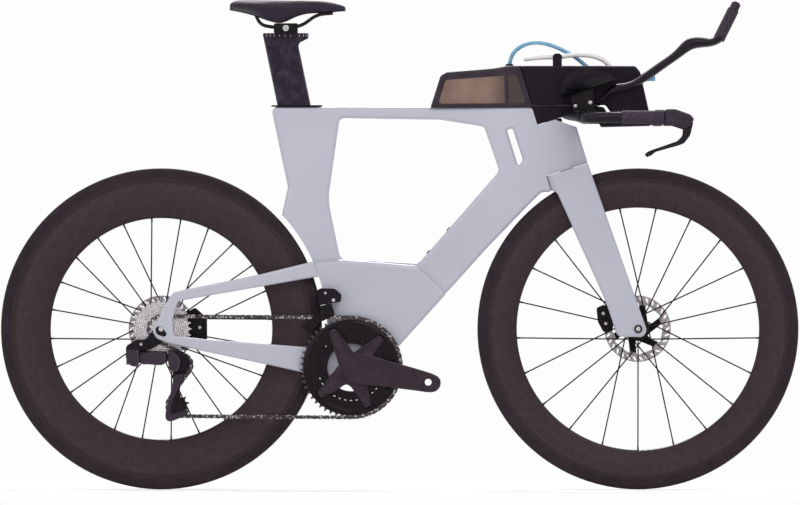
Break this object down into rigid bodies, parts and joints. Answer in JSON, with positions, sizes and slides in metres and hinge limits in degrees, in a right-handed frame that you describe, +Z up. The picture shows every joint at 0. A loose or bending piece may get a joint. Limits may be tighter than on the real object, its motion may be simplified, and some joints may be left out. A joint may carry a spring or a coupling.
{
  "type": "time trial bike",
  "caption": "Aerodynamic time trial bicycle with deep wheels, disc brakes, forward aero bar extensions with arm rests, a base bar, a top tube tank and a front drink box.",
  "frame": {"origin": "on the ground, under the middle of the wheelbase, in the mid-plane", "axes": "+X forwards, +Y to the rider's left, +Z up"},
  "size_m": [1.6789, 0.416, 1.0282],
  "materials": {
    "frame_paint": "gloss",
    "carbon": "satin",
    "tyre": "matte",
    "black_metal": "satin",
    "steel": "brushed",
    "chain_steel": "brushed",
    "rubber": "matte",
    "black_plastic": "matte",
    "smoky": "gloss",
    "saddle_cover": "matte",
    "foam": "matte",
    "tape": "matte",
    "blue_hose": "satin",
    "clear_tube": "gloss"
  },
  "bodies": {
    "frame": {"main_frame": "frame_paint", "rear_stays_right": "frame_paint", "rear_stays_left": "frame_paint", "derailleur_hanger": "black_metal", "bottle_bosses": "black_metal", "seatpost_wedge": "black_metal", "seat_tube_seal": "rubber", "frame_bearings": "black_metal", "rear_axle": "black_metal", "rear_caliper": "black_metal", "front_derailleur": "black_plastic", "derailleur_body": "black_plastic", "chain": "chain_steel", "tank_shell": "black_plastic", "tank_windows": "smoky", "tank_cap": "black_plastic", "feed_hose": "blue_hose"},
    "cranks": {"crank_arms": "black_metal", "chainrings": "black_metal"},
    "cassette": {"cassette": "steel"},
    "front_cage": {"front_derailleur_cage": "black_metal"},
    "shift_link": {"derailleur_link": "black_metal"},
    "shift_knuckle": {"derailleur_knuckle": "black_plastic"},
    "chain_cage": {"derailleur_cage": "black_metal"},
    "guide_wheel": {"guide_pulley": "black_plastic"},
    "tension_wheel": {"tension_pulley": "black_plastic"},
    "seat": {"seatpost": "carbon", "saddle_clamp": "black_metal", "saddle_rails": "black_metal", "saddle_base": "black_plastic", "saddle_pad": "saddle_cover"},
    "steering": {"fork": "frame_paint", "front_axle": "black_metal", "front_caliper": "black_metal", "stem_cowl": "black_plastic", "base_bar": "carbon", "grip_tape": "tape", "lever_hoods": "black_plastic", "arm_brackets": "black_metal", "arm_cups": "carbon", "arm_pads": "foam", "extensions": "carbon", "shifter_pods": "black_plastic", "drink_box": "black_plastic", "drink_tube": "clear_tube", "filler_valve": "blue_hose"},
    "right_brake_lever": {"brake_lever_right": "carbon"},
    "left_brake_lever": {"brake_lever_left": "carbon"},
    "right_shift_button": {"shift_button_right": "rubber"},
    "left_shift_button": {"shift_button_left": "rubber"},
    "front_wheel": {"front_tyre": "tyre", "front_rim": "carbon", "front_spokes": "black_metal", "front_hub": "black_metal", "front_rotor": "steel"},
    "rear_wheel": {"rear_tyre": "tyre", "rear_rim": "carbon", "rear_spokes": "black_metal", "rear_hub": "black_metal", "rear_rotor": "steel"}
  },
  "joints": [
    {"name": "steering_turn", "type": "hinge", "parent": "frame", "child": "steering", "pos_m": [0.3519, 0, 0.67342], "axis": [-0.2924, 0, 0.9563], "range_deg": [-40, 40], "deforming": ["feed_hose"]},
    {"name": "front_wheel_spin", "type": "hinge", "parent": "steering", "child": "front_wheel", "pos_m": [0.5015, 0, 0.338], "axis": [0, 1, 0], "continuous": true},
    {"name": "rear_wheel_spin", "type": "hinge", "parent": "frame", "child": "rear_wheel", "pos_m": [-0.5015, 0, 0.338], "axis": [0, 1, 0], "continuous": true},
    {"name": "crank_spin", "type": "hinge", "parent": "frame", "child": "cranks", "pos_m": [-0.10217, 0, 0.25702], "axis": [0, 1, 0], "continuous": true, "deforming": ["chain"]},
    {"name": "cassette_spin", "type": "hinge", "parent": "frame", "child": "cassette", "pos_m": [-0.5015, 0, 0.338], "axis": [0, 1, 0], "continuous": true},
    {"name": "seatpost_height", "type": "slide", "parent": "frame", "child": "seat", "axis": [-0.2023, 0, 0.9793], "range_m": [-0.03, 0.03]},
    {"name": "rear_shift", "type": "hinge", "parent": "frame", "child": "shift_link", "pos_m": [-0.55846, -0.088, 0.2787], "axis": [0, 0.4226, 0.9063], "range_deg": [-6, 27]},
    {"name": "rear_shift_level", "type": "hinge", "parent": "shift_link", "child": "shift_knuckle", "pos_m": [-0.47946, -0.088, 0.2787], "axis": [0, 0.4226, 0.9063], "range_deg": [-27, 6]},
    {"name": "chain_cage_swing", "type": "hinge", "parent": "shift_knuckle", "child": "chain_cage", "pos_m": [-0.45949, -0.0587, 0.26291], "axis": [0, 1, 0], "range_deg": [-20, 30], "stiffness_Nm_per_rad": 0.5},
    {"name": "guide_wheel_spin", "type": "hinge", "parent": "chain_cage", "child": "guide_wheel", "pos_m": [-0.45949, -0.0587, 0.26291], "axis": [0, 1, 0], "continuous": true},
    {"name": "tension_wheel_spin", "type": "hinge", "parent": "chain_cage", "child": "tension_wheel", "pos_m": [-0.46673, -0.0587, 0.17729], "axis": [0, 1, 0], "continuous": true},
    {"name": "front_shift", "type": "slide", "parent": "frame", "child": "front_cage", "axis": [0, 1, 0], "range_m": [0, 0.007]},
    {"name": "right_brake", "type": "hinge", "parent": "steering", "child": "right_brake_lever", "pos_m": [0.60786, -0.192, 0.76658], "axis": [0, 1, 0], "range_deg": [0, 15], "stiffness_Nm_per_rad": 4},
    {"name": "left_brake", "type": "hinge", "parent": "steering", "child": "left_brake_lever", "pos_m": [0.60786, 0.192, 0.76658], "axis": [0, 1, 0], "range_deg": [0, 15], "stiffness_Nm_per_rad": 4},
    {"name": "right_shift_press", "type": "slide", "parent": "steering", "child": "right_shift_button", "axis": [-0.4409, 0, -0.8976], "range_m": [0, 0.0015], "stiffness_N_per_m": 1500},
    {"name": "left_shift_press", "type": "slide", "parent": "steering", "child": "left_shift_button", "axis": [-0.4409, 0, -0.8976], "range_m": [0, 0.0015], "stiffness_N_per_m": 1500}
  ],
  "couplings": [
    {"joint": "cassette_spin", "follows": "crank_spin", "ratio": 4},
    {"joint": "guide_wheel_spin", "follows": "crank_spin", "ratio": -4.7273},
    {"joint": "tension_wheel_spin", "follows": "crank_spin", "ratio": 4.7273},
    {"joint": "rear_shift_level", "follows": "rear_shift", "ratio": -1}
  ]
}
